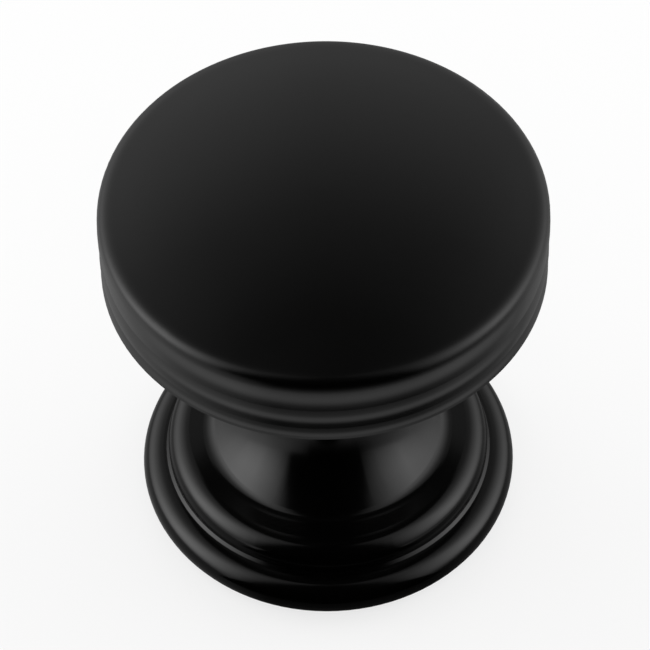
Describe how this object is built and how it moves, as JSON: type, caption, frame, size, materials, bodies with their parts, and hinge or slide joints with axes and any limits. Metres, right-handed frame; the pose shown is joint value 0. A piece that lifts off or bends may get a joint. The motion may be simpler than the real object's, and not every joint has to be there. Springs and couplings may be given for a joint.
{
  "type": "cabinet knob",
  "caption": "Round cabinet knob in satin black: crowned face, stepped rim, waisted neck, moulded foot and a blind screw hole in its flat back.",
  "frame": {"origin": "centre of the flat back face, on the knob's axis", "axes": "+Z along the knob's axis, from the back face to the crowned face; the knob is round about it"},
  "size_m": [0.0318, 0.0318, 0.0329],
  "materials": {
    "black_coat": "satin black coat on cast metal"
  },
  "bodies": {
    "root": {"knob": "black_coat"}
  },
  "joints": []
}
